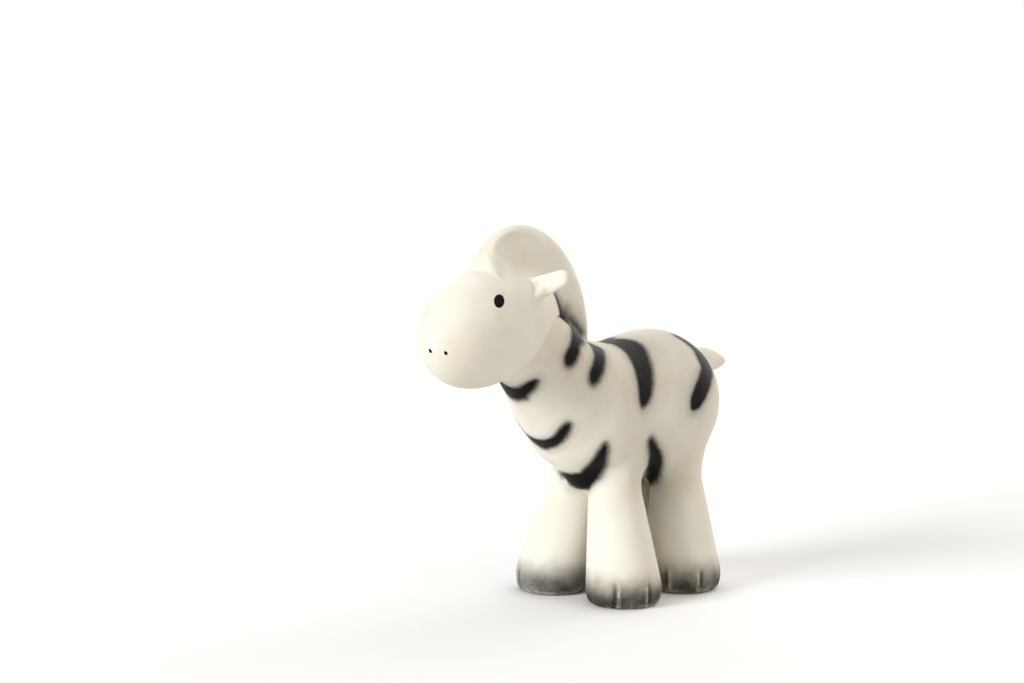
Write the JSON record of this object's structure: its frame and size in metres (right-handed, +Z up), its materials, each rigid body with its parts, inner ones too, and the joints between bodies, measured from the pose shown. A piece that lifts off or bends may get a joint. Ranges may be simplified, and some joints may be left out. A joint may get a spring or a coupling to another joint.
{
  "type": "zebra bath toy",
  "caption": "Hollow natural-rubber zebra bath toy: splayed legs on flat soles, egg-shaped head glued on the neck, crest mane, pegged ears and tail, and a loose rattle ball in the belly.",
  "frame": {"origin": "on the ground plane, under the middle of the overall bounding box", "axes": "+Z up from the soles; the zebra faces -Y, its left side is +X"},
  "size_m": [0.053, 0.142, 0.1204],
  "materials": {
    "rubber": "matt cream natural rubber with sprayed black stripes and smoke-grey feet",
    "rattle_case": "plain moulded plastic, hidden inside",
    "rattle_bead": "plain moulded plastic, hidden inside"
  },
  "bodies": {
    "toy": {"body_shell": "rubber", "head_shell": "rubber", "mane": "rubber", "ear_left": "rubber", "ear_right": "rubber", "tail": "rubber"},
    "rattle": {"rattle_case_lower": "rattle_case", "rattle_case_upper": "rattle_case"},
    "bead_1": {"rattle_bead_1": "rattle_bead"},
    "bead_2": {"rattle_bead_2": "rattle_bead"},
    "bead_3": {"rattle_bead_3": "rattle_bead"}
  },
  "joints": [
    {"name": "rattle_hop", "type": "slide", "parent": "toy", "child": "rattle", "axis": [0, 0, 1], "range_m": [0, 0.0255]},
    {"name": "bead_1_hop", "type": "slide", "parent": "rattle", "child": "bead_1", "axis": [0, 0, 1], "range_m": [0, 0.0088]},
    {"name": "bead_2_hop", "type": "slide", "parent": "rattle", "child": "bead_2", "axis": [0, 0, 1], "range_m": [0, 0.0088]},
    {"name": "bead_3_hop", "type": "slide", "parent": "rattle", "child": "bead_3", "axis": [0, 0, 1], "range_m": [0, 0.0088]}
  ]
}
